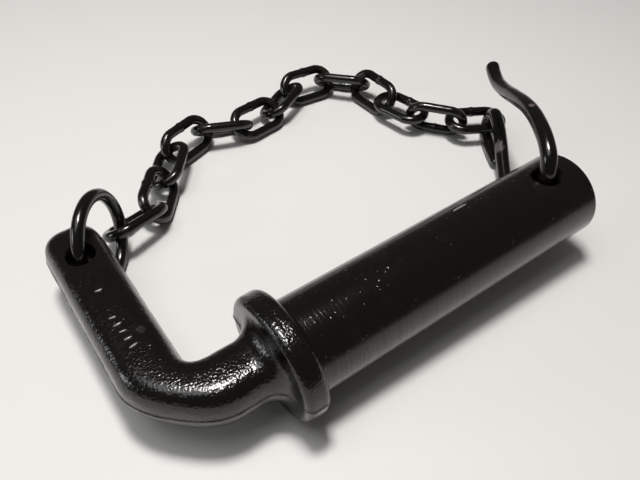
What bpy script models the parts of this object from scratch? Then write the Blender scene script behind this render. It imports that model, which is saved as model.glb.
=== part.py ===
# Pintle pin with a bent handle, its ring, a short chain and the retaining clip.
# Metres, +Z up. The part lies as it rests: on the collar, the clip's foot and the ring.
import math

import bmesh
import bpy
import numpy as np
from mathutils import Matrix, Vector

# Where the pin stands in the part's frame: the seat face's centre on the shaft's axis
SEAT_X = -0.0656
SEAT_Y = -0.0722

# Forged pin: shaft
SHAFT_RADIUS = 0.0190
SHAFT_LENGTH = 0.1480
TIP_CHAMFER = 0.0030
HOLE_FROM_TIP = 0.0195
HOLE_CLEARANCE = 0.0018
MOUTH_DEPTH = 0.0020

# Forged pin: oblong collar
COLLAR_THICKNESS = 0.0100
COLLAR_LENGTH = 0.0520
COLLAR_HEIGHT = 0.0460
COLLAR_EDGE = 0.0030

# Forged pin: neck, bend and arm
HANDLE_OFFSET = 0.0015
HANDLE_WIDTH = 0.0235
HANDLE_THICKNESS = 0.0210
HANDLE_SQUARENESS = 3.0
NECK_FILLET = 0.0085
NECK_LENGTH = 0.0163
BEND_RADIUS = 0.0200
BEND_THINNING_OUTSIDE = 0.0024
BEND_THINNING_INSIDE = 0.0012
ARM_LENGTH = 0.0672
ARM_END_SQUARENESS = 2.8
EYE_SETBACK = 0.0097
PARTING_DRAFT = math.radians(4.0)
FLASH_HEIGHT = 0.0004
EYE_CLEARANCE = 0.0012
EYE_MOUTH_DEPTH = 0.0008

# Ring through the arm's eye
RING_WIRE = 0.0055
RING_RADIUS = 0.0192
RING_HEADING = math.radians(50.6)
RING_LEAN = math.radians(8.0)
RING_CHAIN_ANGLE = math.radians(58.0)

# Chain of welded oval links
LINK_COUNT = 13
LINK_WIRE = 0.0050
LINK_INSIDE_LENGTH = 0.0247
LINK_INSIDE_WIDTH = 0.0105
LINK_SLACK = 0.0026
LINK_WELD_BULGE = 0.0003
END_CLEARANCE = 0.0009
# Heading and roll of each link in degrees, as the chain lies on the table
LINK_HEADINGS = (20, 53, 53, 21, -18, 10, 29, -5, -48, -87, -80, -51, -27)
LINK_ROLLS = (-36, 52, -27, 57, -41, 34, -30, 46, -46, 57, 2, -77, 3)

# Retaining clip: one bent round rod; its free end and its leg stand in two upright planes through the cross hole
CLIP_ROD = 0.0070
CLIP_HEADING = math.radians(57.0)
CLIP_LEG_HEADING = math.radians(54.6)
CLIP_FOOT_GAP = 0.0003
CLIP_FOOT_BEND = 0.0060
CLIP_CREST_RISE = 0.0102
CLIP_LEG_LENGTH = 0.0895
CLIP_TAIL_LENGTH = 0.0250
CLIP_TAIL_TIP = 0.0040
CLIP_EYE_CLEARANCE = 0.0008
CLIP_EYE_LEAN = math.radians(10.0)
# Free end of the clip: run from the stem and drop below the crest
CLIP_WAVE = ((0.0, 0.0120), (0.0008, 0.0085), (0.0030, 0.0050), (0.0066, 0.0027), (0.0125, 0.0009),
             (0.0200, 0.0002), (0.0295, 0.0006), (0.0400, 0.0028), (0.0530, 0.0073), (0.0630, 0.0112),
             (0.0720, 0.0142), (0.0800, 0.0161), (0.0880, 0.0160), (0.0950, 0.0142))

SECTION_POINTS = 48
TABLE = 0.0

BLACK_PAINT = (0.012, 0.012, 0.013, 1.0)

HOLE_X = SHAFT_LENGTH - HOLE_FROM_TIP
HOLE_RADIUS = CLIP_ROD / 2 + HOLE_CLEARANCE
REST_PITCH = math.atan2(SHAFT_RADIUS + CLIP_ROD + CLIP_FOOT_GAP - COLLAR_HEIGHT / 2,
                        HOLE_X + COLLAR_THICKNESS / 2)
SEAT_Z = COLLAR_HEIGHT / 2 * math.cos(REST_PITCH) + max(0.0, COLLAR_THICKNESS * math.sin(REST_PITCH))
ARM_X = -(COLLAR_THICKNESS + NECK_LENGTH + BEND_RADIUS)
ARM_END_Y = HANDLE_OFFSET + BEND_RADIUS + ARM_LENGTH
EYE_Y = ARM_END_Y - EYE_SETBACK


def clear_scene():
    for thing in list(bpy.data.objects):
        bpy.data.objects.remove(thing, do_unlink=True)


def paint(name, roughness):
    material = bpy.data.materials.new(name)
    material.use_nodes = True
    shader = material.node_tree.nodes["Principled BSDF"]
    shader.inputs["Base Color"].default_value = BLACK_PAINT
    shader.inputs["Roughness"].default_value = roughness
    shader.inputs["Metallic"].default_value = 0.0
    return material


def add_mesh_object(name, bm, material):
    bmesh.ops.recalc_face_normals(bm, faces=bm.faces)
    mesh = bpy.data.meshes.new(name)
    bm.to_mesh(mesh)
    bm.free()
    mesh.materials.append(material)
    mesh.shade_smooth()
    mesh.set_sharp_from_angle(angle=math.radians(35.0))
    thing = bpy.data.objects.new(name, mesh)
    bpy.context.scene.collection.objects.link(thing)
    return thing


def loft(rings, close_start, close_end):
    """Skin closed rings of equal point counts; a ring end can be capped or left to merge."""
    bm = bmesh.new()
    rows = [[bm.verts.new(p) for p in ring] for ring in rings]
    for low, high in zip(rows, rows[1:]):
        for k in range(len(low)):
            n = (k + 1) % len(low)
            bm.faces.new((low[k], low[n], high[n], high[k]))
    if close_start:
        bm.faces.new(list(reversed(rows[0])))
    if close_end:
        bm.faces.new(rows[-1])
    return bm


def section(centre, outward, half_out, half_in, half_height, squareness, drafted):
    """One cross-section of the forging: a superellipse, drafted towards its parting line."""
    ring = []
    for k in range(SECTION_POINTS):
        a = 2 * math.pi * k / SECTION_POINTS
        c, s = math.cos(a), math.sin(a)
        power = 2 / squareness
        across = math.copysign(abs(c) ** power, c)
        height = math.copysign(abs(s) ** power, s) * half_height if abs(s) > 1e-9 else 0.0
        if abs(c) < 1e-9:
            across = 0.0
        half = half_out if across > 0 else half_in
        side = half * abs(across)
        if drafted:
            side = max(0.0, side - math.tan(PARTING_DRAFT) * abs(height) * abs(across))
            if height == 0.0:
                side += FLASH_HEIGHT
        across = math.copysign(side, across) if across else 0.0
        ring.append(Vector((centre[0] + outward[0] * across, centre[1] + outward[1] * across, height)))
    return ring


def shaft_sections():
    """Tip face, chamfer and plain round shaft, back to the seat face."""
    tip = SHAFT_RADIUS - TIP_CHAMFER
    stations = ((SHAFT_LENGTH, tip), (SHAFT_LENGTH - TIP_CHAMFER * 0.35, tip + TIP_CHAMFER * 0.62),
                (SHAFT_LENGTH - TIP_CHAMFER, SHAFT_RADIUS), (HOLE_X / 2, SHAFT_RADIUS), (0.0, SHAFT_RADIUS))
    return [section((x, 0.0), (0.0, -1.0), r, r, r, 2.0, False) for x, r in stations]


def collar_sections():
    """Oblong collar with both rims rounded."""
    rings = []
    half_length, half_height = COLLAR_LENGTH / 2, COLLAR_HEIGHT / 2
    turns = [math.radians(a) for a in (0, 30, 60, 90)]
    front = [(-COLLAR_EDGE * (1 - math.cos(a)), COLLAR_EDGE * (1 - math.sin(a))) for a in turns]
    back = [(-COLLAR_THICKNESS - x, inset) for x, inset in reversed(front)]
    for x, inset in front + back:
        rings.append(section((x, HANDLE_OFFSET), (0.0, -1.0), half_length - inset, half_length - inset,
                             half_height - inset, 2.2, inset < COLLAR_EDGE))
    return rings


def handle_sections():
    """Fillet behind the collar, straight neck, quarter bend, arm and rounded eye end."""
    rings = []
    half_width, half_height = HANDLE_WIDTH / 2, HANDLE_THICKNESS / 2
    back = -COLLAR_THICKNESS
    for a in (0, 20, 40, 60, 90):
        grow = NECK_FILLET * (1 - math.sin(math.radians(a)))
        x = back - NECK_FILLET * (1 - math.cos(math.radians(a)))
        squareness = 2.2 + (HANDLE_SQUARENESS - 2.2) * a / 90
        rings.append(section((x, HANDLE_OFFSET), (0.0, -1.0), half_width + grow, half_width + grow,
                             half_height + grow, squareness, True))
    turn_x, turn_y = back - NECK_LENGTH, HANDLE_OFFSET + BEND_RADIUS
    steps = 12
    for k in range(steps + 1):
        a = math.pi / 2 * k / steps
        outward = (-math.sin(a), -math.cos(a))
        centre = (turn_x + BEND_RADIUS * outward[0], turn_y + BEND_RADIUS * outward[1])
        thin = math.sin(2 * a) ** 2
        rings.append(section(centre, outward, half_width - BEND_THINNING_OUTSIDE * thin,
                             half_width - BEND_THINNING_INSIDE * thin, half_height,
                             HANDLE_SQUARENESS, True))
    rings.append(section((ARM_X, turn_y + ARM_LENGTH / 2), (-1.0, 0.0), half_width, half_width,
                         half_height, HANDLE_SQUARENESS, True))
    end = section((ARM_X, ARM_END_Y), (-1.0, 0.0), half_width, half_width, half_height,
                  HANDLE_SQUARENESS, True)
    for a in (0, 15, 30, 45, 60, 75, 90):
        power = 2 / ARM_END_SQUARENESS
        c = max(math.cos(math.radians(a)), 0.0) ** power if a < 90 else 0.0
        s = math.sin(math.radians(a)) ** power
        rings.append([Vector((ARM_X + (p.x - ARM_X) * c, ARM_END_Y + abs(p.x - ARM_X) * s, p.z)) for p in end])
    return rings


def ring_drift():
    """Highest and lowest reach of the ring's wire from its centre, inside the arm's thickness."""
    half = HANDLE_THICKNESS / 2
    low, high = eye_height() - half - ring_height(), eye_height() + half - ring_height()
    worst = min(max(abs(low), abs(high)), RING_RADIUS * 0.98)
    near = 0.0 if low < 0.0 < high else min(abs(low), abs(high))
    return math.sqrt(RING_RADIUS ** 2 - worst ** 2), math.sqrt(RING_RADIUS ** 2 - near ** 2)


def eye_height():
    return SEAT_Z + ARM_X * math.sin(REST_PITCH)


def ring_height():
    return TABLE + RING_RADIUS * math.cos(RING_LEAN) + RING_WIRE / 2


def eye_radius():
    near, far = ring_drift()
    return RING_WIRE / 2 + (far - near) / 2 + EYE_CLEARANCE


def hole_cutter(name, radius, depth, mouth, centre):
    """Round cutter along Z with a countersunk mouth at each face."""
    reach = depth / 2
    profile = ((radius + mouth + 0.01, -reach - 0.01), (radius, -reach + mouth),
               (radius, reach - mouth), (radius + mouth + 0.01, reach + 0.01))
    bm = bmesh.new()
    sides = 32
    rings = [[bm.verts.new((r * math.cos(2 * math.pi * k / sides), r * math.sin(2 * math.pi * k / sides), z))
              for k in range(sides)] for r, z in profile]
    for low, high in zip(rings, rings[1:]):
        for k in range(sides):
            n = (k + 1) % sides
            bm.faces.new((low[k], low[n], high[n], high[k]))
    bm.faces.new(list(reversed(rings[0])))
    bm.faces.new(rings[-1])
    bmesh.ops.recalc_face_normals(bm, faces=bm.faces)
    mesh = bpy.data.meshes.new(name)
    bm.to_mesh(mesh)
    bm.free()
    cutter = bpy.data.objects.new(name, mesh)
    cutter.location = (centre[0], centre[1], 0.0)
    cutter.hide_render = True
    cutter.display_type = "WIRE"
    bpy.context.scene.collection.objects.link(cutter)
    return cutter


def cut(target, cutter):
    boolean = target.modifiers.new(cutter.name, "BOOLEAN")
    boolean.operation = "DIFFERENCE"
    boolean.solver = "EXACT"
    boolean.object = cutter


def make_pin(frame):
    rings = shaft_sections() + collar_sections() + handle_sections()
    bm = loft(rings, True, False)
    bmesh.ops.remove_doubles(bm, verts=bm.verts, dist=1e-6)
    bmesh.ops.dissolve_degenerate(bm, edges=bm.edges, dist=1e-6)
    pin = add_mesh_object("pintle_pin", bm, paint("forged_black_paint", 0.28))
    pin.parent = frame
    holes = (hole_cutter("cross_hole_cutter", HOLE_RADIUS, 2 * SHAFT_RADIUS, MOUTH_DEPTH, (HOLE_X, 0.0)),
             hole_cutter("eye_cutter", eye_radius(), HANDLE_THICKNESS, EYE_MOUTH_DEPTH, (ARM_X, EYE_Y)))
    for cutter in holes:
        cutter.parent = frame
        cut(pin, cutter)
    return pin


def tube(points, normals, radii, sides, closed):
    """Round wire along a path; each point has its own in-plane normal and radius."""
    bm = bmesh.new()
    count = len(points)
    rows = []
    for k, p in enumerate(points):
        before = points[k - 1] if closed or k else p
        after = points[(k + 1) % count] if closed or k < count - 1 else p
        along = (after - before).normalized()
        side = (normals[k] - along * normals[k].dot(along)).normalized()
        up = along.cross(side)
        rows.append([bm.verts.new(p + radii[k] * (side * math.cos(2 * math.pi * j / sides)
                                                  + up * math.sin(2 * math.pi * j / sides)))
                     for j in range(sides)])
    pairs = list(zip(rows, rows[1:]))
    if closed:
        pairs.append((rows[-1], rows[0]))
    for low, high in pairs:
        for j in range(sides):
            n = (j + 1) % sides
            bm.faces.new((low[j], low[n], high[n], high[j]))
    if not closed:
        bm.faces.new(list(reversed(rows[0])))
        bm.faces.new(rows[-1])
    return bm


def pin_point(x, y):
    """A point of the pin's parting plane in the part's frame."""
    c, s = math.cos(REST_PITCH), math.sin(REST_PITCH)
    return Vector((SEAT_X + x * c, SEAT_Y + y, SEAT_Z + x * s))


def ring_frame():
    """Centre of the ring, its level direction and the wire's centre where the chain hangs on."""
    near, far = ring_drift()
    level = Vector((math.cos(RING_HEADING), math.sin(RING_HEADING), 0.0))
    eye = pin_point(ARM_X, EYE_Y)
    centre = Vector((eye.x, eye.y, ring_height())) + level * (near + far) / 2
    upright = Vector((-math.sin(RING_HEADING) * math.sin(RING_LEAN),
                      math.cos(RING_HEADING) * math.sin(RING_LEAN), math.cos(RING_LEAN)))
    hook = centre + RING_RADIUS * (level * math.sin(RING_CHAIN_ANGLE) - upright * math.cos(RING_CHAIN_ANGLE))
    return eye, centre, level, upright, hook


def make_ring():
    eye, centre, level, upright, hook = ring_frame()
    normal = level.cross(upright)
    steps = 40
    points, normals = [], []
    for k in range(steps):
        a = 2 * math.pi * k / steps
        points.append(centre - eye + RING_RADIUS * (level * math.cos(a) + upright * math.sin(a)))
        normals.append(normal)
    bm = tube(points, normals, [RING_WIRE / 2] * steps, 12, True)
    ring = add_mesh_object("handle_ring", bm, paint("ring_black_paint", 0.22))
    ring.location = eye
    return ring


def clip_free_end():
    """Centreline of the wavy free end down to the stem: run, height, side lean and wire radius."""
    crest = SEAT_Z + HOLE_X * math.sin(REST_PITCH) + SHAFT_RADIUS + CLIP_CREST_RISE
    path = [(run, crest - drop, 0.0, CLIP_ROD / 2) for run, drop in reversed(CLIP_WAVE)]
    middle = (TABLE + CLIP_ROD / 2 + CLIP_FOOT_BEND + path[-1][1]) / 2
    return path + [(0.0, middle, 0.0, CLIP_ROD / 2)]


def clip_leg():
    """Centreline from the stem through the foot, the leg, the hairpin and the tapering tail."""
    rod = CLIP_ROD / 2
    foot = TABLE + rod
    path = []
    for t in (0, 15, 30, 45, 60, 75, 90):
        a = math.radians(t)
        path.append((CLIP_FOOT_BEND * (1 - math.cos(a)), foot + CLIP_FOOT_BEND * (1 - math.sin(a)), 0.0, rod))
    path.append((CLIP_FOOT_BEND * 1.4, foot, 0.0, rod))
    turn = clip_eye_radius()
    rise, lean = 2 * turn * math.cos(CLIP_EYE_LEAN), turn * math.sin(CLIP_EYE_LEAN)
    eye_run = CLIP_LEG_LENGTH - turn
    for share in (0.2, 0.35, 0.42, 0.5, 0.65, 0.8, 0.9):
        part = max(0.0, (share - 0.35) / 0.65)
        part = part * part * (3 - 2 * part)
        path.append((eye_run * share, foot + rise * part, -lean * part, rod))
    for t in (90, 60, 30, 0, -30, -55, -75, -90):
        a = math.radians(t)
        path.append((eye_run + turn * math.cos(a), foot + rise * (1 + math.sin(a)) / 2, -lean * math.sin(a), rod))
    for share in (0.3, 0.65, 1.0):
        path.append((eye_run - CLIP_TAIL_LENGTH * share, foot, lean, rod + (CLIP_TAIL_TIP / 2 - rod) * share ** 2))
    return path


def smooth_path(points, radii, per_span):
    """Catmull-Rom curve through the path's own points."""
    fine, widths = [], []
    last = len(points) - 1
    for k in range(last):
        p0, p1, p2, p3 = (points[max(k - 1, 0)], points[k], points[k + 1], points[min(k + 2, last)])
        for j in range(per_span):
            t = j / per_span
            fine.append(0.5 * ((2 * p1) + (p2 - p0) * t + (2 * p0 - 5 * p1 + 4 * p2 - p3) * t ** 2
                               + (3 * p1 - p0 - 3 * p2 + p3) * t ** 3))
            widths.append(radii[k] + (radii[k + 1] - radii[k]) * t)
    fine.append(points[-1])
    widths.append(radii[-1])
    return fine, widths


def clip_stem():
    stem = pin_point(HOLE_X, 0.0)
    return Vector((stem.x, stem.y, TABLE))


def clip_axes(heading):
    run = Vector((math.cos(heading), math.sin(heading), 0.0))
    return run, Vector((-run.y, run.x, 0.0))


def clip_eye_radius():
    """Bend radius of the hairpin that holds the last link."""
    return (CLIP_ROD + LINK_WIRE) / 2 + CLIP_EYE_CLEARANCE


def clip_eye():
    """Centre of the rod where it stands upright in the last link."""
    height = TABLE + CLIP_ROD / 2 + clip_eye_radius() * math.cos(CLIP_EYE_LEAN)
    return clip_stem() + clip_axes(CLIP_LEG_HEADING)[0] * CLIP_LEG_LENGTH + Vector((0.0, 0.0, height))


def make_clip():
    points, normals, widths = [], [], []
    for heading, profile in ((CLIP_HEADING, clip_free_end()), (CLIP_LEG_HEADING, clip_leg())):
        run, side = clip_axes(heading)
        points += [run * r + side * lean + Vector((0.0, 0.0, z)) for r, z, lean, w in profile]
        widths += [w for r, z, lean, w in profile]
        normals += [side] * len(profile) * 2
    fine, widths = smooth_path(points, widths, 2)
    bm = tube(fine, normals[:len(fine)], widths, 12, False)
    clip = add_mesh_object("retaining_clip", bm, paint("clip_black_paint", 0.25))
    clip.location = clip_stem()
    return clip


def link_mesh():
    """One closed link, flat in XY and long along X, its weld on one straight side."""
    radius = (LINK_INSIDE_WIDTH + LINK_WIRE) / 2
    half = (LINK_INSIDE_LENGTH - LINK_INSIDE_WIDTH) / 2
    points, widths = [], []
    arc = 8
    for side in (1, -1):
        for k in range(arc + 1):
            a = math.radians(-90 + 180 * k / arc) if side == 1 else math.radians(90 + 180 * k / arc)
            points.append(Vector((side * half + radius * math.cos(a), radius * math.sin(a), 0.0)))
            widths.append(LINK_WIRE / 2)
        if side == 1:
            for x, bulge in ((0.0015, 0.0), (0.0, LINK_WELD_BULGE), (-0.0015, 0.0)):
                points.append(Vector((x, radius, 0.0)))
                widths.append(LINK_WIRE / 2 + bulge)
    return tube(points, [Vector((0.0, 0.0, 1.0))] * len(points), widths, 10, True)


def link_rest_height(index):
    """Height of a link's middle when its lower side just touches the table."""
    roll = math.radians(LINK_ROLLS[index % len(LINK_ROLLS)])
    side = (LINK_INSIDE_WIDTH + LINK_WIRE) / 2 * abs(math.sin(roll))
    return TABLE + LINK_WIRE / 2 + LINK_WELD_BULGE + side + 0.0001


def lay_chain(start, end, spread, turn):
    """Pivots between the links, and each link's middle and heading, from the ring towards the clip."""
    course = math.degrees(math.atan2(end.y - start.y, end.x - start.x))
    headings = [math.radians(course + spread * (LINK_HEADINGS[k % len(LINK_HEADINGS)] - course) + turn)
                for k in range(LINK_COUNT)]
    straight = LINK_INSIDE_LENGTH - LINK_INSIDE_WIDTH
    joint = LINK_INSIDE_WIDTH - LINK_SLACK
    reach_ring = LINK_INSIDE_WIDTH / 2 - RING_WIRE / 2 - END_CLEARANCE
    reach_clip = LINK_INSIDE_WIDTH / 2 - CLIP_ROD / 2 - END_CLEARANCE
    pivots, middles = [start.copy()], []
    for k, heading in enumerate(headings):
        before = (heading + headings[k - 1]) / 2 if k else heading
        after = (heading + headings[k + 1]) / 2 if k < LINK_COUNT - 1 else heading
        lead = joint / 2 if k else reach_ring
        tail = joint / 2 if k < LINK_COUNT - 1 else reach_clip
        along = Vector((math.cos(heading), math.sin(heading), 0.0))
        inner = pivots[-1] + lead * Vector((math.cos(before), math.sin(before), 0.0))
        outer = inner + straight * along
        pivot = outer + tail * Vector((math.cos(after), math.sin(after), 0.0))
        pivot.z = max(link_rest_height(k), link_rest_height(k + 1)) if k < LINK_COUNT - 1 else end.z
        middle = (inner + outer) / 2
        middle.z = (pivots[-1].z + pivot.z) / 2
        pivots.append(pivot)
        middles.append(middle)
    return pivots, middles, headings


def close_chain():
    """Spread and turn the headings until the last link meets the clip's eye."""
    start, end = ring_frame()[-1], clip_eye()

    def miss(values):
        gap = lay_chain(start, end, values[0], values[1])[0][-1] - end
        return np.array([gap.x, gap.y])

    guess = np.array([1.0, 0.0])
    for step in range(25):
        now = miss(guess)
        slope = np.column_stack([(miss(guess + [1e-4, 0.0]) - now) / 1e-4,
                                 (miss(guess + [0.0, 1e-4]) - now) / 1e-4])
        guess = guess - np.linalg.solve(slope, now)
        if np.abs(now).max() < 1e-8:
            break
    return lay_chain(start, end, guess[0], guess[1])


def make_chain(pivots, middles, headings):
    material = paint("chain_black_paint", 0.20)
    links = []
    for k, heading in enumerate(headings):
        rise = pivots[k + 1] - pivots[k]
        slope = rise.z / math.hypot(rise.x, rise.y)
        along = Vector((math.cos(heading), math.sin(heading), slope)).normalized()
        level = Vector((0.0, 0.0, 1.0)).cross(along).normalized()
        roll = math.radians(LINK_ROLLS[k % len(LINK_ROLLS)])
        across = level * math.cos(roll) + along.cross(level) * math.sin(roll)
        turn = Matrix((along, across, along.cross(across))).transposed()
        bm = link_mesh()
        bmesh.ops.transform(bm, matrix=turn.to_4x4(), verts=bm.verts)
        bmesh.ops.translate(bm, verts=bm.verts, vec=middles[k] - pivots[k])
        link = add_mesh_object(f"chain_link_{k + 1:02d}", bm, material)
        link.location = pivots[k]
        links.append(link)
    return links


def main():
    clear_scene()
    frame = bpy.data.objects.new("pin_rest_frame", None)
    frame.location = (SEAT_X, SEAT_Y, SEAT_Z)
    frame.rotation_euler = (0.0, -REST_PITCH, 0.0)
    bpy.context.scene.collection.objects.link(frame)
    make_pin(frame)
    make_ring()
    make_clip()
    make_chain(*close_chain())


main()
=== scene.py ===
# Pintle pin: gloss black forging with its ring, chain and retaining clip, on a pale studio floor.
import math

import bmesh
import bpy
import numpy as np
from mathutils import Matrix, Vector, noise


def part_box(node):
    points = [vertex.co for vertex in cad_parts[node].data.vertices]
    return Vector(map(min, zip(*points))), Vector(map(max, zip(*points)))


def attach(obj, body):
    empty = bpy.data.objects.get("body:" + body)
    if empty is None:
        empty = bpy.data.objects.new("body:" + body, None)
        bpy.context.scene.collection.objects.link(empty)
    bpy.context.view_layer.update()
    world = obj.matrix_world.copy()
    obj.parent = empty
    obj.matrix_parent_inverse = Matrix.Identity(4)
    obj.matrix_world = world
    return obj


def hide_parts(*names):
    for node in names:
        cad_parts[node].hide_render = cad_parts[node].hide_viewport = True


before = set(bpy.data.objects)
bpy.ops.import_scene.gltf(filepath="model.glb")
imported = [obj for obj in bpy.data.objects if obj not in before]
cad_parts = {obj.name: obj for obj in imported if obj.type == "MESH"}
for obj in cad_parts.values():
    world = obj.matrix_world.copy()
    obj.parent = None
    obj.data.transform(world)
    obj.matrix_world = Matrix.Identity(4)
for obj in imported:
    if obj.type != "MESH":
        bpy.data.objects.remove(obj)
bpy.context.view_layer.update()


# A node output that can be used in Python arithmetic
class Wire:
    def __init__(self, sheet, socket):
        self.sheet = sheet
        self.socket = socket

    def math(self, operation, first, second=0.0):
        return self.sheet.node("Math", {"operation": operation}, {0: first, 1: second})

    def __add__(self, other):
        return self.math("ADD", self, other)

    def __sub__(self, other):
        return self.math("SUBTRACT", self, other)

    def __mul__(self, other):
        return self.math("MULTIPLY", self, other)

    def __rsub__(self, other):
        return self.math("SUBTRACT", other, self)

    def __gt__(self, other):
        return self.math("GREATER_THAN", self, other)

    def largest(self, other):
        return self.math("MAXIMUM", self, other)

    __radd__ = __add__
    __rmul__ = __mul__


# One material and its nodes
class ShaderSheet:
    def __init__(self, name):
        self.material = bpy.data.materials.new(name)
        self.material.use_nodes = True
        self.tree = self.material.node_tree
        self.shader = self.tree.nodes["Principled BSDF"]
        self.made = 0

    # Any node: its settings first, then the values or links of its sockets
    def node(self, kind, settings=None, sockets=None, output=0):
        new = self.tree.nodes.new("ShaderNode" + kind)
        for key, value in (settings or {}).items():
            setattr(new, key, value)
        for key, value in (sockets or {}).items():
            self.plug(new.inputs[key], value)
        new.location = (-240 * (1 + self.made // 6), 300 - 190 * (self.made % 6))
        self.made += 1
        return Wire(self, new.outputs[output])

    def plug(self, socket, value):
        if isinstance(value, Wire):
            self.tree.links.new(value.socket, socket)
        elif socket.type == "RGBA":
            socket.default_value = (*value, 1.0)
        else:
            socket.default_value = value

    def blendColour(self, share, first, second):
        return self.node("Mix", {"data_type": "RGBA"}, {0: share, 6: first, 7: second}, 2)

    # 0 at low, 1 at high, smooth between; low may be the larger
    def ease(self, value, low, high):
        return self.node("MapRange", {"interpolation_type": "SMOOTHSTEP"},
                         {"Value": value, "From Min": low, "From Max": high})

    # Soft noise with lumps of the given size
    def cloud(self, place, size, detail=2.0, roughness=0.5, stretch=None):
        if stretch:
            place = self.node("VectorMath", {"operation": "MULTIPLY"}, {0: place, 1: stretch})
        return self.node("TexNoise", None, {"Vector": place, "Scale": 1 / size, "Detail": detail,
                                            "Roughness": roughness})

    def split(self, place, axis):
        return self.node("SeparateXYZ", None, {0: place}, axis)

    # A ragged round spot about a point of the object
    def spot(self, place, centre, radius, ragged):
        away = self.node("VectorMath", {"operation": "DISTANCE"}, {0: place, 1: centre}, "Value")
        return self.ease(away + ragged * radius, radius * 1.35, radius * 0.95)

    # Sets the shader's sockets and stacks the bumps, each a height and its distance in metres
    def finish(self, sockets, bumps):
        normal = None
        for height, distance in bumps:
            inputs = {"Height": height, "Distance": distance, "Strength": 1.0}
            if normal:
                inputs["Normal"] = normal
            normal = self.node("Bump", None, inputs)
        for key, value in sockets.items():
            self.plug(self.shader.inputs[key], value)
        self.plug(self.shader.inputs["Normal"], normal)
        return self.material


forgingLook = {
    "black": (0.0044, 0.0035, 0.0028),
    "thinPaint": (0.022, 0.013, 0.008),
    "bareSteel": (0.16, 0.14, 0.125),
    "dust": (0.10, 0.09, 0.075),
    # pale colour of the raised marks' upper side: rubbed paint and a painted highlight
    "crest": (0.22, 0.20, 0.185),
    "gloss": 0.12,
    "grainSize": 0.0010,
    "grainHeight": 0.00019,
    "nibSize": 0.0021,
    "nibHeight": 0.00013,
    "turnedPitch": 0.0010,
    "turnedHeight": 0.00007,
    "forgedEnd": (0.0012, -0.0004),
    "coarseHeight": 0.00006,
    "patchSize": 0.011,
    "nibShare": 0.42,
    "grooveTilt": (0.75, 0.35),
    "grooveReach": (0.110, 0.020),
    "grooveSheen": 0.15,
    "dustSize": 0.0190,
    "dustShare": 0.05,
    "coat": 0.2,
    "scuffs": (((-0.0417, 0.0326, 0.0104), 0.0016), ((0.0890, 0.0125, 0.0150), 0.0011)),
}


# Gloss black brushed over a sandy forging and a turned shaft, thin on the edges, and pale on the raised
# marks' upper side as rubbed paint and a painted highlight
def forgedPaint():
    look = forgingLook
    sheet = ShaderSheet("forgedPaint")
    place = sheet.node("TexCoord", None, None, "Object")
    along = sheet.split(place, "X")
    forging = sheet.ease(along, *look["forgedEnd"])
    wear = sheet.node("Attribute", {"attribute_name": "wear"}, None, "Fac")

    pits = sheet.node("TexVoronoi", {"feature": "SMOOTH_F1"},
                      {"Vector": place, "Scale": 1 / look["grainSize"], "Smoothness": 0.7}, "Distance")
    grain = pits * 0.8 + 0.5 * sheet.cloud(place, look["grainSize"], 2.0, 0.5)
    coarse = sheet.cloud(place, look["grainSize"] * 2.4, 2.0, 0.5)
    patchy = sheet.ease(sheet.cloud(place, look["patchSize"], 2.0, 0.5), 0.30, 0.62)
    cells = {"Vector": place, "Scale": 1 / look["nibSize"], "Randomness": 1.0}
    nibAway = sheet.node("TexVoronoi", None, cells, "Distance")
    nibPick = sheet.node("SeparateColor", None, {0: sheet.node("TexVoronoi", None, cells, "Color")}, 0)
    nibs = sheet.ease(nibAway, 0.28, 0.02) * (nibPick > 1.0 - look["nibShare"])
    turned = sheet.cloud(place, look["turnedPitch"], 1.0, 0.5, (1.0, 0.04, 0.04))
    facing = sheet.split(sheet.node("TexCoord", None, None, "Normal"), "Z")
    flank = sheet.ease(facing, *look["grooveTilt"]) * sheet.ease(along, *look["grooveReach"])
    grooves = sheet.ease(turned, 0.40, 0.62) * (1.0 - forging) * flank
    fine = sheet.cloud(place, 0.0004, 1.0, 0.5)

    # crest: the raised bars' and the paint run's upper side painted pale, partly rubbed paint and partly a
    # painted highlight
    crest = sheet.ease(wear, 0.80, 0.95)
    chips = sheet.ease(wear + 0.55 * sheet.cloud(place, 0.0013, 3.0, 0.6), 1.00, 1.06) * (1.0 - crest)
    rubbed = sheet.ease(wear + 0.5 * coarse, 0.55, 1.10)
    smear = sheet.cloud(place, 0.0012, 3.0, 0.65, (1.0, 0.45, 1.0))
    scuffs = 0.0 * wear
    for centre, radius in look["scuffs"]:
        scuffs = scuffs.largest(sheet.spot(place, centre, radius, smear * 1.5 - 0.6))
    dust = sheet.ease(sheet.cloud(place, look["dustSize"], 4.0, 0.7), 0.52, 0.80) * look["dustShare"]

    colour = sheet.blendColour(rubbed * 0.8, look["black"], look["thinPaint"])
    colour = sheet.blendColour(dust + scuffs * 0.09 + grooves * 0.02, colour, look["dust"])
    colour = sheet.blendColour(chips, colour, look["bareSteel"])
    colour = sheet.blendColour(crest, colour, look["crest"])
    roughness = (look["gloss"] + 0.07 * sheet.cloud(place, 0.0065, 3.0, 0.6) + dust * 0.8
                 + scuffs * 0.15 + chips * 0.22 + rubbed * 0.05)
    height = grain * forging * (0.35 + 0.65 * patchy) + 0.22 * fine
    return sheet.finish(
        {"Base Color": colour, "Roughness": roughness, "Metallic": chips * 0.85, "IOR": 1.5,
         "Coat Weight": look["coat"] * (1.0 - chips) + grooves * look["grooveSheen"],
         "Coat Roughness": 0.06, "Coat IOR": 1.5},
        [(coarse * forging, look["coarseHeight"]), (height, look["grainHeight"]),
         (nibs * (1.0 - forging * 0.6), look["nibHeight"]),
         (turned * (1.0 - forging), look["turnedHeight"])])


rodLook = {
    "black": (0.0040, 0.0033, 0.0028),
    "thinPaint": (0.026, 0.016, 0.011),
    "bareSteel": (0.19, 0.175, 0.165),
    "primer": (0.11, 0.092, 0.088),
    "dust": (0.11, 0.10, 0.085),
    "dustSize": 0.0120,
    "dustShare": 0.05,
    "coat": 0.2,
    "waveHeight": 0.000045,
    "peelHeight": 0.000012,
}


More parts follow.
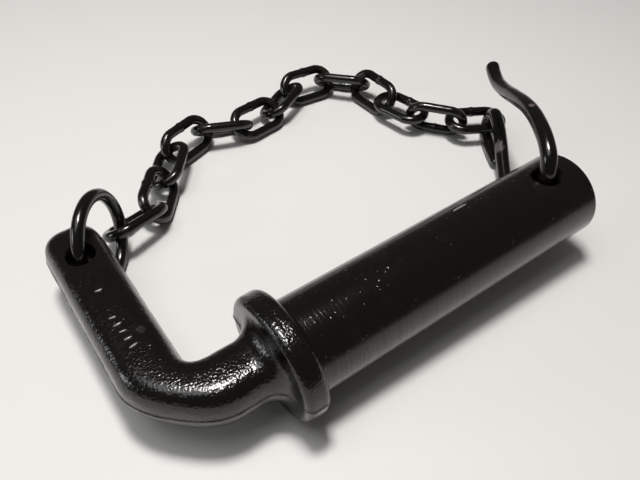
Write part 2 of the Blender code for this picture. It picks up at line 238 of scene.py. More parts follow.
# The same gloss black on drawn wire: smoother, with dents and bald spots down to the primer
def rodPaint(name, size, spots=()):
    look = rodLook
    sheet = ShaderSheet(name)
    place = sheet.node("TexCoord", None, None, "Object")
    wear = sheet.node("Attribute", {"attribute_name": "wear"}, None, "Fac")
    waves = sheet.cloud(place, 0.0042, 2.0, 0.45)
    peel = sheet.cloud(place, 0.00075, 2.0, 0.5)
    dents = sheet.ease(sheet.cloud(place, 0.0019, 2.0, 0.5), 0.36, 0.24)
    ragged = sheet.cloud(place, 0.0011, 3.0, 0.65)
    chips = sheet.ease(wear + 0.5 * ragged, 1.06, 1.12)
    rubbed = sheet.ease(wear + 0.4 * waves, 0.60, 1.15)
    bald = 0.0 * wear
    for centre, radius in spots:
        bald = bald.largest(sheet.spot(place, centre, radius, ragged * 3.2 - 1.5))
    dust = sheet.ease(sheet.cloud(place, look["dustSize"], 4.0, 0.7), 0.54, 0.82) * look["dustShare"]

    colour = sheet.blendColour(rubbed * 0.8, look["black"], look["thinPaint"])
    colour = sheet.blendColour(dust, colour, look["dust"])
    colour = sheet.blendColour(bald, colour, look["primer"])
    colour = sheet.blendColour(chips, colour, look["bareSteel"])
    roughness = size["gloss"] + 0.10 * peel + dust + bald * 0.30 + chips * 0.25 + rubbed * 0.06
    return sheet.finish(
        {"Base Color": colour, "Roughness": roughness, "Metallic": chips * 0.85, "IOR": 1.5,
         "Coat Weight": look["coat"] * (1.0 - bald), "Coat Roughness": 0.05, "Coat IOR": 1.5},
        [(waves, look["waveHeight"]), (peel, look["peelHeight"]), (1.0 - dents, size["dentHeight"])])


# A finished mesh object in the shared frame, with its paint, its body and the node it stands for
def addPiece(name, mesh, material, body, node, matrix=None, sharp=40.0):
    mesh.materials.clear()
    mesh.materials.append(material)
    mesh.shade_smooth()
    mesh.set_sharp_from_angle(angle=math.radians(sharp))
    piece = bpy.data.objects.new(name, mesh)
    bpy.context.scene.collection.objects.link(piece)
    if matrix:
        piece.matrix_world = matrix
    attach(piece, body)
    if node:
        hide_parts(node)
    return piece


# How rubbed each point is, from 0 to 1, for the paints to read; on the raised bars and the paint run the top
# values also carry a painted highlight
def setWear(mesh, values):
    wear = mesh.attributes.new("wear", "FLOAT", "POINT")
    wear.data.foreach_set("value", np.clip(values, 0.0, 1.0).astype(np.float32))


def meshPoints(mesh):
    points = np.zeros(len(mesh.vertices) * 3, np.float32)
    mesh.vertices.foreach_get("co", points)
    return points.reshape(-1, 3).astype(float)


# One closed skin over rows of points, each row a closed ring
def meshFromRows(name, rows, wrap, capStart, capEnd):
    bm = bmesh.new()
    made = [[bm.verts.new(p) for p in row] for row in rows]
    pairs = list(zip(made, made[1:])) + ([(made[-1], made[0])] if wrap else [])
    count = len(made[0])
    for low, high in pairs:
        for k in range(count):
            n = (k + 1) % count
            bm.faces.new((low[k], low[n], high[n], high[k]))
    if capStart:
        bm.faces.new(list(reversed(made[0])))
    if capEnd:
        bm.faces.new(made[-1])
    bmesh.ops.remove_doubles(bm, verts=bm.verts, dist=2e-6)
    bmesh.ops.dissolve_degenerate(bm, edges=bm.edges, dist=1e-6)
    bmesh.ops.recalc_face_normals(bm, faces=bm.faces)
    mesh = bpy.data.meshes.new(name)
    bm.to_mesh(mesh)
    bm.free()
    return mesh


pinSize = {
    "seat": (-0.0656, -0.0722),
    "shaftRadius": 0.0190,
    "shaftLength": 0.1480,
    "tipChamfer": 0.0040,
    "tipSoftness": 0.0012,
    "holeFromTip": 0.0195,
    "holeRadius": 0.0053,
    "holeMouth": 0.0020,
    "eyeRadius": 0.00562,
    "eyeMouth": 0.0008,
    "collarThickness": 0.0100,
    "collarLength": 0.0520,
    "collarHeight": 0.0460,
    "collarEdge": 0.0030,
    "seatFillet": 0.0009,
    "handleOffset": 0.0015,
    "handleWidth": 0.0235,
    "handleThickness": 0.0210,
    "handleSquareness": 3.0,
    "neckFillet": 0.0085,
    "neckLength": 0.0163,
    "bendRadius": 0.0200,
    "thinOutside": 0.0024,
    "thinInside": 0.0012,
    "armLength": 0.0672,
    "armEndSquareness": 2.8,
    "eyeSetback": 0.0097,
    "draft": math.radians(4.0),
    "flashHeight": 0.00042,
    "flashWidth": 0.00050,
    "lumpHeight": 0.00006,
    "lumpSize": 0.0085,
    "fineLumpSize": 0.0036,
    "cutterSides": 96,
    "quarterPoints": 48,
    "step": 0.0010,
    "barRow": ((-0.0005, 0.0276), (-0.0008, 0.0314), (-0.0011, 0.0352), (-0.0015, 0.0390),
               (-0.0018, 0.0428)),
    "barAlone": (-0.0011, 0.0574),
    "barLength": 0.0036,
    "barWidth": 0.0011,
    "barHeight": 0.00050,
    "barSink": 0.0001,
    "runPlace": (0.0860, math.radians(24.0)),
    "runSize": (0.0036, 0.00055, 0.00042),
}
clipSize = {
    "rod": 0.0070,
    "heading": math.radians(57.0),
    "legHeading": math.radians(54.6),
    "footGap": 0.0003,
    "footBend": 0.0060,
    "crestRise": 0.0102,
    "legLength": 0.0895,
    "tailLength": 0.0250,
    "tailTip": 0.0040,
    "eyeClearance": 0.0008,
    "eyeLean": math.radians(10.0),
    "linkWire": 0.0050,
    "endRound": 0.0020,
    "sides": 36,
    "capRows": 7,
    "unevenness": 0.00005,
    "gloss": 0.12,
    "dentHeight": 0.00003,
    "bareSpots": (((0.0960, -0.0228, 0.0140), 0.0028), ((0.0797, -0.0448, 0.0579), 0.0012)),
    "wave": ((0.0, 0.0120), (0.0008, 0.0085), (0.0030, 0.0050), (0.0066, 0.0027), (0.0125, 0.0009),
             (0.0200, 0.0002), (0.0295, 0.0006), (0.0400, 0.0028), (0.0530, 0.0073), (0.0630, 0.0112),
             (0.0720, 0.0142), (0.0800, 0.0161), (0.0880, 0.0160), (0.0950, 0.0142)),
}

holeX = pinSize["shaftLength"] - pinSize["holeFromTip"]
shaftLift = pinSize["shaftRadius"] + clipSize["rod"] + clipSize["footGap"] - pinSize["collarHeight"] / 2
restPitch = math.atan2(shaftLift, holeX + pinSize["collarThickness"] / 2)
seatZ = pinSize["collarHeight"] / 2 * math.cos(restPitch) + pinSize["collarThickness"] * math.sin(restPitch)
armX = -(pinSize["collarThickness"] + pinSize["neckLength"] + pinSize["bendRadius"])
armEndY = pinSize["handleOffset"] + pinSize["bendRadius"] + pinSize["armLength"]
pinPlace = Matrix.Translation((*pinSize["seat"], seatZ)) @ Matrix.Rotation(-restPitch, 4, "Y")


# Half width and height from the parting line up to the crown, closer together by the parting line
def quarterShape(half, halfHeight, squareness, draft):
    a = np.linspace(0.0, math.pi / 2, 301)
    across = np.maximum(np.cos(a), 0.0) ** (2 / squareness)
    height = halfHeight * np.sin(a) ** (2 / squareness)
    side = np.maximum(half * across - math.tan(draft) * height * across, 0.0)
    side[-1] = 0.0
    run = np.concatenate([[0.0], np.cumsum(np.hypot(np.diff(side), np.diff(height)))])
    wanted = np.linspace(0.0, 1.0, pinSize["quarterPoints"] + 1) ** 1.25 * run[-1]
    return np.interp(wanted, run, side), np.interp(wanted, run, height)


# A ring of points round the section at a place of the pin; outward points away from the bend's centre
def crossSection(centre, outward, halfOut, halfIn, halfHeight, squareness, drafted):
    draft = pinSize["draft"] if drafted else 0.0
    outSide, outHigh = quarterShape(halfOut, halfHeight, squareness, draft)
    inSide, inHigh = quarterShape(halfIn, halfHeight, squareness, draft)
    across = np.concatenate([outSide[:-1], -inSide[:0:-1], -inSide[:-1], outSide[:0:-1]])
    height = np.concatenate([outHigh[:-1], inHigh[:0:-1], -inHigh[:-1], -outHigh[:0:-1]])
    return np.column_stack([centre[0] + outward[0] * across, centre[1] + outward[1] * across, height])


# From the tip's middle over its chamfer and along the shaft to the collar's face
def shaftRings():
    radius, length, chamfer = pinSize["shaftRadius"], pinSize["shaftLength"], pinSize["tipChamfer"]
    fillet, soft = pinSize["seatFillet"], pinSize["tipSoftness"]
    trim = soft * math.tan(math.pi / 8)
    stations = [(length, r) for r in np.linspace(0.0004, radius - chamfer - trim - 0.0003, 12)]
    stations += [(length - soft * (1 - math.cos(a)), radius - chamfer - trim + soft * math.sin(a))
                 for a in np.radians(np.linspace(0, 45, 5))]
    foot = length - chamfer - trim
    stations += [(foot + soft * math.sin(a), radius - soft * (1 - math.cos(a)))
                 for a in np.radians(np.linspace(45, 0, 5))]
    plain = np.linspace(foot, fillet * 2, int(foot / pinSize["step"]))[1:]
    stations += [(x, radius) for x in plain]
    stations += [(fillet * (1 - math.sin(a)), radius + fillet * (1 - math.cos(a)))
                 for a in np.radians(np.linspace(0, 78, 5))]
    return [crossSection((x, 0.0), (0.0, -1.0), r, r, r, 2.0, False) for x, r in stations]


def collarRing(x, inset):
    half, halfHeight = pinSize["collarLength"] / 2 - inset, pinSize["collarHeight"] / 2 - inset
    return crossSection((x, pinSize["handleOffset"]), (0.0, -1.0), half, half, halfHeight, 2.2, True)


def collarRings(shaftFoot):
    edge, thick = pinSize["collarEdge"], pinSize["collarThickness"]
    rim = [(-edge * (1 - math.cos(a)), edge * (1 - math.sin(a))) for a in np.radians(np.linspace(0, 90, 9))]
    back = [(-thick - x, inset) for x, inset in reversed(rim)]
    band = [(x, 0.0) for x in np.linspace(rim[-1][0], back[0][0], 6)[1:-1]]
    rings = [collarRing(x, inset) for x, inset in rim + band + back]
    face = [shaftFoot + (rings[0] - shaftFoot) * share for share in (0.25, 0.5, 0.75)]
    return face + rings


# The neck out of the collar, the bend, the arm and its rounded end
def handleRings():
    width, high = pinSize["handleWidth"] / 2, pinSize["handleThickness"] / 2
    back, squareness = -pinSize["collarThickness"], pinSize["handleSquareness"]
    offset, bend = pinSize["handleOffset"], pinSize["bendRadius"]
    rings = []
    for degrees in np.linspace(0, 90, 15):
        a = math.radians(degrees)
        grow = pinSize["neckFillet"] * (1 - math.sin(a))
        x = back - pinSize["neckFillet"] * (1 - math.cos(a))
        rings.append(crossSection((x, offset), (0.0, -1.0), width + grow, width + grow, high + grow,
                                  2.2 + (squareness - 2.2) * degrees / 90, True))
    turnX, turnY = back - pinSize["neckLength"], offset + bend
    for x in np.linspace(back - pinSize["neckFillet"], turnX, 9)[1:-1]:
        rings.append(crossSection((x, offset), (0.0, -1.0), width, width, high, squareness, True))
    for a in np.linspace(0, math.pi / 2, 40):
        outward = (-math.sin(a), -math.cos(a))
        centre = (turnX + bend * outward[0], turnY + bend * outward[1])
        thin = math.sin(2 * a) ** 2
        rings.append(crossSection(centre, outward, width - pinSize["thinOutside"] * thin,
                                  width - pinSize["thinInside"] * thin, high, squareness, True))
    for y in np.linspace(turnY, armEndY, int(pinSize["armLength"] / pinSize["step"]))[1:]:
        rings.append(crossSection((armX, y), (-1.0, 0.0), width, width, high, squareness, True))
    end = rings[-1]
    away = end[:, 0] - armX
    power = 2 / pinSize["armEndSquareness"]
    for degrees in (5, 10, 16, 22, 28, 34, 40, 46, 52, 58, 64, 70, 76, 81, 85.5, 90):
        c = max(math.cos(math.radians(degrees)), 0.0) ** power if degrees < 90 else 0.0
        s = math.sin(math.radians(degrees)) ** power
        rings.append(np.column_stack([armX + away * c, armEndY + np.abs(away) * s, end[:, 2]]))
    return rings


# Trimmed flash along the parting line and the hammered unevenness of the forging
def roughenForging(mesh):
    normals = np.zeros(len(mesh.vertices) * 3, np.float32)
    mesh.vertices.foreach_get("normal", normals)
    normals = normals.reshape(-1, 3).astype(float)
    points = meshPoints(mesh)
    forging = np.clip((0.0004 - points[:, 0]) / 0.0012, 0.0, 1.0)
    flash = np.exp(-(points[:, 2] / pinSize["flashWidth"]) ** 2) * forging
    flash *= np.clip((-0.0012 - points[:, 0]) / 0.0015, 0.0, 1.0)
    move = np.zeros(len(points))
    for k, p in enumerate(points):
        spot = Vector(p)
        lumps = noise.noise(spot / pinSize["lumpSize"]) + 0.45 * noise.noise(spot / pinSize["fineLumpSize"])
        uneven = 0.8 + 0.35 * noise.noise(spot / 0.0062) + 0.15 * noise.noise(spot / 0.0012)
        move[k] = (pinSize["lumpHeight"] * lumps * (0.15 + 0.85 * forging[k])
                   + pinSize["flashHeight"] * flash[k] * max(uneven, 0.1))
    points += normals * move[:, None]
    mesh.vertices.foreach_set("co", points.astype(np.float32).ravel())
    mesh.update()


# A round cutter with a softly countersunk mouth at each face
def mouthCutter(name, radius, depth, mouth, x, y):
    reach, soft = depth / 2, mouth * 1.5
    lip = [(radius, reach - mouth * 1.8)]
    lip += [(radius + soft * (1 - math.cos(a)), reach - mouth + soft * (math.sin(a) - 0.414))
            for a in np.radians((0, 9, 18, 27, 36, 45))]
    lip.append((lip[-1][0] + 0.0090, lip[-1][1] + 0.0090))
    profile = [(r, -z) for r, z in reversed(lip)] + lip
    turns = np.linspace(0, 2 * math.pi, pinSize["cutterSides"] + 1)[:-1]
    rows = [[(r * math.cos(t), r * math.sin(t), z) for t in turns] for r, z in profile]
    cutter = bpy.data.objects.new(name, meshFromRows(name, rows, False, True, True))
    cutter.location = (x, y, 0.0)
    bpy.context.scene.collection.objects.link(cutter)
    return cutter


# The cross hole through the shaft and the eye through the arm
def cutHoles(mesh):
    blank = bpy.data.objects.new("pinBlank", mesh)
    bpy.context.scene.collection.objects.link(blank)
    cutters = [mouthCutter("crossHoleCutter", pinSize["holeRadius"], 2 * pinSize["shaftRadius"],
                           pinSize["holeMouth"], holeX, 0.0),
               mouthCutter("eyeCutter", pinSize["eyeRadius"], pinSize["handleThickness"],
                           pinSize["eyeMouth"], armX, armEndY - pinSize["eyeSetback"])]
    for cutter in cutters:
        cut = blank.modifiers.new(cutter.name, "BOOLEAN")
        cut.operation, cut.solver, cut.object = "DIFFERENCE", "EXACT", cutter
    bpy.context.view_layer.update()
    made = bpy.data.meshes.new_from_object(blank.evaluated_get(bpy.context.evaluated_depsgraph_get()))
    for thing in [blank] + cutters:
        bpy.data.objects.remove(thing)
    return made


# Rubbed places: the flash line, the holes' mouths and walls, the collar's rim and the tip's edge
def pinWear(points):
    x, y, z = points.T
    flash = np.exp(-(z / 0.0005) ** 2) * (x < -0.0005) * 0.75
    hole = np.hypot(x - holeX, y)
    eye = np.hypot(x - armX, y - armEndY + pinSize["eyeSetback"])
    holeMouth, eyeMouth = np.exp(-((hole - 0.0074) / 0.0012) ** 2), np.exp(-((eye - 0.0064) / 0.0006) ** 2)
    mouths = np.maximum(holeMouth, eyeMouth) * 0.40
    inner = np.maximum((hole < 0.0056) * (np.abs(z) < 0.018), (eye < 0.0059) * (np.abs(z) < 0.011)) * 0.50
    half, tall = pinSize["collarLength"] / 2, pinSize["collarHeight"] / 2
    reach = (np.abs((y - pinSize["handleOffset"]) / half) ** 2.2 + np.abs(z / tall) ** 2.2) ** (1 / 2.2)
    rim = np.clip((reach - 0.955) / 0.03, 0.0, 1.0) * (x < 0.0) * (x > -pinSize["collarThickness"]) * 0.36
    edge = pinSize["tipChamfer"]
    tip = np.exp(-((x - pinSize["shaftLength"] + edge) / 0.0009) ** 2) * 0.42
    return np.maximum.reduce([flash, mouths, inner, rim, tip])


def makePin(material):
    shaft = shaftRings()
    rows = shaft + collarRings(shaft[-1]) + handleRings()
    mesh = meshFromRows("pinBlank", rows, False, True, False)
    roughenForging(mesh)
    mesh = cutHoles(mesh)
    mesh.name = "forgedPin"
    setWear(mesh, pinWear(meshPoints(mesh)))
    return addPiece("forgedPin", mesh, material, "pin", "pintle_pin", pinPlace, 34.0)


# Six plain raised bars on the arm's flat top and one paint run on the shaft, their upper side painted pale as
# rubbed paint and as a painted highlight
def makeBars(material):
    bm = bmesh.new()
    sink, shapes = pinSize["barSink"], []
    armTop, shaftTop = pinSize["handleThickness"] / 2 - sink, pinSize["shaftRadius"] - sink
    wear = bm.verts.layers.float.new("wear")
    for x, y in (*pinSize["barRow"], pinSize["barAlone"]):
        skew = noise.noise(Vector((y * 900, 3.1, 0.4)))
        size = (pinSize["barLength"] / 2 * (1 + 0.25 * skew), pinSize["barWidth"] / 2, pinSize["barHeight"])
        place = Matrix.Translation((armX + x, y, armTop)) @ Matrix.Rotation(0.25 * skew, 4, "Z")
        shapes.append((-0.1, size, place))
    along, around = pinSize["runPlace"]
    place = Matrix.Translation((along, 0.0, 0.0)) @ Matrix.Rotation(-around, 4, "X")
    shapes.append((0.8, pinSize["runSize"], place @ Matrix.Translation((0.0, 0.0, shaftTop))))
    for rubAndHighlightLift, size, place in shapes:
        for v in bmesh.ops.create_uvsphere(bm, u_segments=28, v_segments=18, radius=1.0)["verts"]:
            # The upper side gets the top wear values, which the paint turns pale: rubbed paint and a painted
            # highlight
            v[wear] = 0.35 + 0.65 * min(max(v.co.z * 1.4 + rubAndHighlightLift, 0.0), 1.0)
            girth = max(math.sqrt(1.0 - min(v.co.x ** 2, 0.9999)), 0.01)
            plump = max(1.0 - abs(v.co.x) ** 3, 0.0) ** 0.33 / girth
            v.co = place @ Vector((v.co.x * size[0], v.co.y * size[1] * plump, v.co.z * size[2] * plump))
    mesh = bpy.data.meshes.new("armBars")
    bm.to_mesh(mesh)
    bm.free()
    return addPiece("armBars", mesh, material, "pin", None, pinPlace, 60.0)


# Round wire along a path; radii may change along it and ends may be rounded off
def wireRows(points, normals, radii, sides, closed):
    rows, count = [], len(points)
    turns = np.linspace(0, 2 * math.pi, sides + 1)[:-1]
    for k, p in enumerate(points):
        before = points[k - 1] if closed or k else p
        after = points[(k + 1) % count] if closed or k < count - 1 else p
        along = (after - before).normalized()
        side = (normals[k] - along * normals[k].dot(along)).normalized()
        up = along.cross(side)
        rows.append([p + radii[k] * (side * math.cos(t) + up * math.sin(t)) for t in turns])
    return rows


# Slight unevenness along drawn wire
def wobble(rows, height, size):
    made = []
    for row in rows:
        middle = sum(row, Vector()) / len(row)
        made.append([p + (p - middle).normalized() * height * noise.noise(p / size) for p in row])
    return made


# Middle and axes of a node, from most to least spread, with the second pointing to its fuller side
def measuredAxes(node):
    points = np.unique(np.round(meshPoints(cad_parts[node].data), 6), axis=0)
    middle = points.mean(0)
    axes = np.linalg.eigh(np.cov((points - middle).T))[1][:, ::-1]
    local = (points - middle) @ axes
    shift = (local.max(0) + local.min(0)) / 2
    if shift[1] > 0:
        axes[:, 1] *= -1
        shift[1] *= -1
    axes[:, 2] = np.cross(axes[:, 0], axes[:, 1])
    place = Matrix(axes.tolist()).to_4x4()
    place.translation = Vector(middle) + Matrix(axes.tolist()) @ Vector((shift[0], shift[1], 0.0))
    return place


ringSize = {
    "wire": 0.0055,
    "radius": 0.0192,
    "steps": 150,
    "sides": 32,
    "unevenness": 0.00007,
    "gloss": 0.13,
    "dentHeight": 0.00004,
}


# The ring lies on the measured node, rubbed where it hangs in the eye
def makeRing(material):
    place = measuredAxes("handle_ring")
    wire, radius, steps = ringSize["wire"] / 2, ringSize["radius"], ringSize["steps"]
    points, normals, radii = [], [], []
    for k in range(steps):
        a = 2 * math.pi * k / steps
        points.append(place @ Vector((radius * math.cos(a), radius * math.sin(a), 0.0)))
        normals.append(place.to_3x3() @ Vector((0.0, 0.0, 1.0)))
        radii.append(wire)
    rows = wobble(wireRows(points, normals, radii, ringSize["sides"], True), ringSize["unevenness"], 0.006)
    mesh = meshFromRows("handleRing", rows, True, False, False)
    eye = pinPlace @ Vector((armX, armEndY - pinSize["eyeSetback"], 0.0))
    away = np.linalg.norm(meshPoints(mesh) - np.array(eye), axis=1)
    setWear(mesh, np.clip((0.0115 - away) / 0.006, 0.0, 1.0) * 0.8)
    return addPiece("handleRing", mesh, material, "ring", "handle_ring", None, 60.0)


linkSize = {
    "count": 13,
    "wire": 0.0050,
    "insideLength": 0.0247,
    "insideWidth": 0.0105,
    "weldHeight": 0.00030,
    "weldWidth": 0.0011,
    "arcSteps": 26,
    "railSteps": 26,
    "sides": 28,
    "unevenness": 0.00004,
    "gloss": 0.12,
    "dentHeight": 0.00005,
}


# Centreline of one link, its rails along X, with the butt weld on the +Y rail
def linkPath():
    radius = (linkSize["insideWidth"] + linkSize["wire"]) / 2
    half = (linkSize["insideLength"] - linkSize["insideWidth"]) / 2
    turns = np.linspace(-90, 90, linkSize["arcSteps"] + 1)
    rail = np.linspace(half, -half, linkSize["railSteps"] + 1)[1:-1]
    path = [(half + radius * math.cos(math.radians(a)), radius * math.sin(math.radians(a))) for a in turns]
    path += [(x, radius) for x in rail]
    path += [(-half - radius * math.cos(math.radians(a)), -radius * math.sin(math.radians(a))) for a in turns]
    path += [(-x, -radius) for x in rail]
    return path


# A link on its measured node, with a weld bead between two pressed grooves
def makeLink(index, material):
    name = f"chain_link_{index:02d}"
    place = measuredAxes(name)
    turn = place.to_3x3()
    points, normals, radii, rubs = [], [], [], []
    half = (linkSize["insideLength"] - linkSize["insideWidth"]) / 2
    for x, y in linkPath():
        weld = math.exp(-(x / linkSize["weldWidth"]) ** 2) * (y > 0)
        ridge = 0.35 * math.exp(-((abs(x) - 0.0013) / 0.00035) ** 2) * (y > 0)
        points.append(place @ Vector((x, y, 0.0)))
        normals.append(turn @ Vector((0.0, 0.0, 1.0)))
        radii.append(linkSize["wire"] / 2 + linkSize["weldHeight"] * (weld - ridge * 0.4))
        rubs.append(min(max((abs(x) - half) / 0.004, 0.0), 1.0))
    rows = wobble(wireRows(points, normals, radii, linkSize["sides"], True), linkSize["unevenness"], 0.0045)
    mesh = meshFromRows(f"chainLink{index:02d}", rows, True, False, False)
    local = (meshPoints(mesh) - np.array(place.translation)) @ np.array(turn)
    inside = np.abs(local[:, 0]) < linkSize["insideLength"] / 2 + 0.0012
    ends = np.clip((np.abs(local[:, 0]) - half - 0.0010) / 0.003, 0.0, 1.0)
    weld = np.exp(-(local[:, 0] / 0.0012) ** 2) * (local[:, 1] > 0)
    setWear(mesh, np.maximum(ends * inside * 0.72, weld * 0.42))
    body = f"link_{index:02d}"
    return addPiece(f"chainLink{index:02d}", mesh, material, body, name, None, 60.0)


# Run from the stem, height above the floor, side lean and wire radius of the wavy free end
def clipFreeEnd():
    size = clipSize
    rod = size["rod"] / 2
    crest = seatZ + holeX * math.sin(restPitch) + pinSize["shaftRadius"] + size["crestRise"]
    path = [(run, crest - drop, 0.0, rod) for run, drop in reversed(size["wave"])]
    return path + [(0.0, (rod + size["footBend"] + path[-1][1]) / 2, 0.0, rod)]


# The same for the foot, the leg and the hairpin with its tapering tail
def clipLeg():
    size = clipSize
    rod, path = size["rod"] / 2, []
    foot = size["footBend"]
    for a in np.radians((0, 22, 45, 68, 90)):
        path.append((foot * (1 - math.cos(a)), rod + foot * (1 - math.sin(a)), 0.0, rod))
    path.append((foot * 1.4, rod, 0.0, rod))
    turn = (size["rod"] + size["linkWire"]) / 2 + size["eyeClearance"]
    rise, lean = 2 * turn * math.cos(size["eyeLean"]), turn * math.sin(size["eyeLean"])
    eyeRun = size["legLength"] - turn
    for share in (0.2, 0.35, 0.42, 0.5, 0.65, 0.8, 0.9):
        part = max(0.0, (share - 0.35) / 0.65)
        part = part * part * (3 - 2 * part)
        path.append((eyeRun * share, rod + rise * part, -lean * part, rod))
    for a in np.radians((90, 60, 30, 0, -30, -55, -75, -90)):
        height = rod + rise * (1 + math.sin(a)) / 2
        path.append((eyeRun + turn * math.cos(a), height, -lean * math.sin(a), rod))
    for share in (0.3, 0.65, 1.0):
        taper = rod + (size["tailTip"] / 2 - rod) * share ** 2
        path.append((eyeRun - size["tailLength"] * share, rod, lean, taper))
    return path


# A smooth curve through the points, with its wire radius running along
def smoothPath(points, radii, perSpan):
    fine, widths, last = [], [], len(points) - 1
    for k in range(last):
        p0, p1, p2, p3 = points[max(k - 1, 0)], points[k], points[k + 1], points[min(k + 2, last)]
        steps = max(3, int(perSpan * (p2 - p1).length / 0.006))
        for j in range(steps):
            t = j / steps
            fine.append(0.5 * ((2 * p1) + (p2 - p0) * t + (2 * p0 - 5 * p1 + 4 * p2 - p3) * t ** 2
                               + (3 * p1 - p0 - 3 * p2 + p3) * t ** 3))
            widths.append(radii[k] + (radii[k + 1] - radii[k]) * t)
    return fine + [points[-1]], widths + [radii[-1]]


# Sawn ends with their edge rounded over by the paint
def roundEnds(points, radii):
    roundness = clipSize["endRound"]
    start, startWay = points[0], (points[0] - points[1]).normalized()
    end, endWay = points[-1], (points[-1] - points[-2]).normalized()
    turns = np.radians((18, 36, 54, 72, 90))
    before = [(start - startWay * roundness * (1 - math.sin(a)), radii[0] - roundness * (1 - math.cos(a)))
              for a in turns][::-1]
    after = [(end - endWay * roundness * (1 - math.sin(a)), radii[-1] - roundness * (1 - math.cos(a)))
             for a in turns]
    flatStart = [(before[0][0], r) for r in (0.0002, before[0][1] * 0.55)]
    flatEnd = [(after[-1][0], r) for r in (after[-1][1] * 0.55, 0.0002)]
    keep = [k for k, p in enumerate(points)
            if (p - start).length > roundness and (p - end).length > roundness]
    rows = flatStart + before + [(points[k], radii[k]) for k in keep] + after + flatEnd
    return rows, startWay, endWay


# The clip's one rod, rubbed in the hole, round the hairpin and on its free end
def makeClip(material):
    stem, points, widths = pinPlace @ Vector((holeX, 0.0, 0.0)), [], []
    for heading, path in ((clipSize["heading"], clipFreeEnd()), (clipSize["legHeading"], clipLeg())):
        run = Vector((math.cos(heading), math.sin(heading), 0.0))
        side = Vector((-run.y, run.x, 0.0))
        points += [Vector((stem.x, stem.y, z)) + run * r + side * lean for r, z, lean, w in path]
        widths += [w for r, z, lean, w in path]
    fine, widths = smoothPath(points, widths, 8)
    stations, startWay, endWay = roundEnds(fine, widths)
    rows, count, caps = [], len(stations), clipSize["capRows"]
    turns = np.linspace(0, 2 * math.pi, clipSize["sides"] + 1)[:-1]
    for k, (p, radius) in enumerate(stations):
        along = stations[min(k + 1, count - 1)][0] - stations[max(k - 1, 0)][0]
        along = -startWay if k < caps else endWay if k >= count - caps else along.normalized()
        across = (side - along * side.dot(along)).normalized()
        up = along.cross(across)
        rows.append([p + radius * (across * math.cos(t) + up * math.sin(t)) for t in turns])
    rows = rows[:caps] + wobble(rows[caps:-caps], clipSize["unevenness"], 0.007) + rows[-caps:]
    mesh = meshFromRows("retainingClip", rows, False, True, True)
    points = meshPoints(mesh)
    hole = pinPlace @ Vector((holeX, 0.0, pinSize["shaftRadius"] - 0.001))
    byHole = np.hypot(points[:, 0] - hole.x, points[:, 1] - hole.y) < 0.008
    rub = np.exp(-((points[:, 2] - hole.z) / 0.004) ** 2) * byHole
    eye = Vector((stem.x, stem.y, 0.008)) + run * clipSize["legLength"]
    hook = np.clip((0.009 - np.linalg.norm(points - np.array(eye), axis=1)) / 0.005, 0.0, 1.0)
    ends = np.clip(1.2 - np.linalg.norm(points - np.array(fine[0]), axis=1) / 0.0040, 0.0, 1.0) * 0.45
    setWear(mesh, np.maximum.reduce([rub * 0.7, hook * 0.75, ends]))
    return addPiece("retainingClip", mesh, material, "clip", "retaining_clip", None, 60.0)


studio = {
    "floorColour": (0.83, 0.825, 0.81),
    "floorMottle": (0.78, 0.775, 0.76),
    "skyColour": (1.0, 0.97, 0.93),
    "skyStrength": 0.08,
    "lampPlace": (-0.050, 0.030, 0.810),
    "lampSize": 0.15,
    "lampPower": 4.8,
    "softPlace": (-0.42, 0.12, 1.42),
    "softSize": 0.9,
    "softPower": 5.2,
    "windowPlace": (-1.05, 0.42, 0.36),
    "windowSize": (0.34, 0.26),
    "windowPower": 1.6,
}


def addLamp(name, place, target, width, height, power, colour=(1.0, 1.0, 1.0)):
    data = bpy.data.lights.new(name, "AREA")
    data.shape = "RECTANGLE"
    data.size, data.size_y = width, height
    data.energy = power
    data.color = colour
    lamp = bpy.data.objects.new(name, data)
    lamp.location = place
    lamp.rotation_euler = (Vector(target) - Vector(place)).to_track_quat("-Z", "Y").to_euler()
    bpy.context.scene.collection.objects.link(lamp)
    return lamp


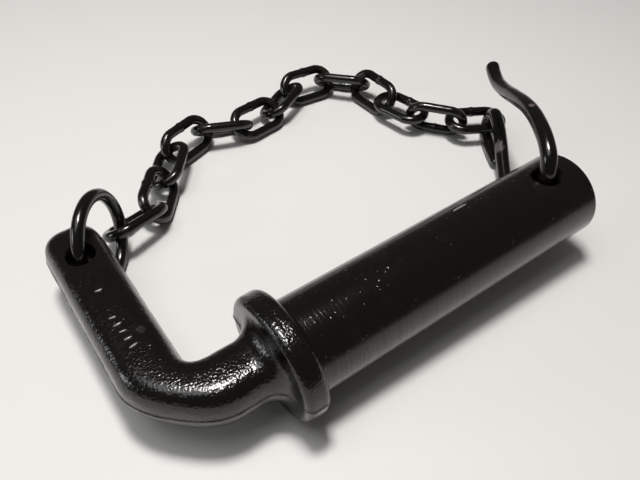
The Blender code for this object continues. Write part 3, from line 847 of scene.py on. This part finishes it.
# Pale floor, dim room, one small lamp overhead, one soft lamp and a dim window to the side
def makeStudio():
    bm = bmesh.new()
    bmesh.ops.create_grid(bm, x_segments=1, y_segments=1, size=3.0)
    mesh = bpy.data.meshes.new("paleFloor")
    bm.to_mesh(mesh)
    bm.free()
    floor = bpy.data.objects.new("paleFloor", mesh)
    floor.location = (0.0, 0.0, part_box("retaining_clip")[0].z - 0.0001)
    bpy.context.scene.collection.objects.link(floor)
    sheet = ShaderSheet("paleFloor")
    place = sheet.node("TexCoord", None, None, "Object")
    mottle = sheet.cloud(place, 0.22, 2.0, 0.5)
    colour = sheet.blendColour(mottle * 0.2, studio["floorColour"], studio["floorMottle"])
    mesh.materials.append(sheet.finish({"Base Color": colour, "Roughness": 0.55}, [(mottle, 0.00005)]))
    world = bpy.data.worlds.new("paleRoom")
    world.use_nodes = True
    sky = world.node_tree.nodes["Background"]
    sky.inputs["Color"].default_value = (*studio["skyColour"], 1.0)
    sky.inputs["Strength"].default_value = studio["skyStrength"]
    bpy.context.scene.world = world
    addLamp("overheadLamp", studio["lampPlace"], (-0.09, -0.05, 0.03), studio["lampSize"], studio["lampSize"],
            studio["lampPower"], (1.0, 0.97, 0.94))
    addLamp("softLamp", studio["softPlace"], (0.0, 0.0, 0.0), studio["softSize"], studio["softSize"],
            studio["softPower"])
    addLamp("windowLamp", studio["windowPlace"], (0.0, 0.0, 0.03), *studio["windowSize"],
            studio["windowPower"], (0.95, 0.97, 1.0))


# The photograph's camera: place, right and up directions, and focal length in pixels of the 640 wide frame
cameraSet = {
    "place": (-0.1343, -0.1784, 0.2108),
    "right": (0.8139, -0.5807, 0.0201),
    "up": (0.4055, 0.5925, 0.6961),
    "focalPixels": 620.0,
    "imageWidth": 640,
}


def makeCamera():
    data = bpy.data.cameras.new("photoCamera")
    data.sensor_fit = "HORIZONTAL"
    data.sensor_width = 36.0
    data.lens = 36.0 * cameraSet["focalPixels"] / cameraSet["imageWidth"]
    data.clip_start = 0.01
    camera = bpy.data.objects.new("photoCamera", data)
    right = Vector(cameraSet["right"]).normalized()
    back = right.cross(Vector(cameraSet["up"])).normalized()
    place = Matrix((right, back.cross(right), back)).transposed().to_4x4()
    place.translation = Vector(cameraSet["place"])
    camera.matrix_world = place
    bpy.context.scene.collection.objects.link(camera)
    bpy.context.scene.camera = camera


forgedBlack = forgedPaint()
pin = makePin(forgedBlack)
makeBars(forgedBlack)
print("pin forged:", len(pin.data.polygons), "faces")

makeRing(rodPaint("ringPaint", ringSize))
print("ring bent")

chainBlack = rodPaint("chainPaint", linkSize)
for index in range(1, linkSize["count"] + 1):
    makeLink(index, chainBlack)
print("chain linked")

makeClip(rodPaint("clipPaint", clipSize, clipSize["bareSpots"]))
print("clip bent")

makeStudio()
makeCamera()
bpy.context.scene.view_settings.view_transform = "Standard"
print("studio set")
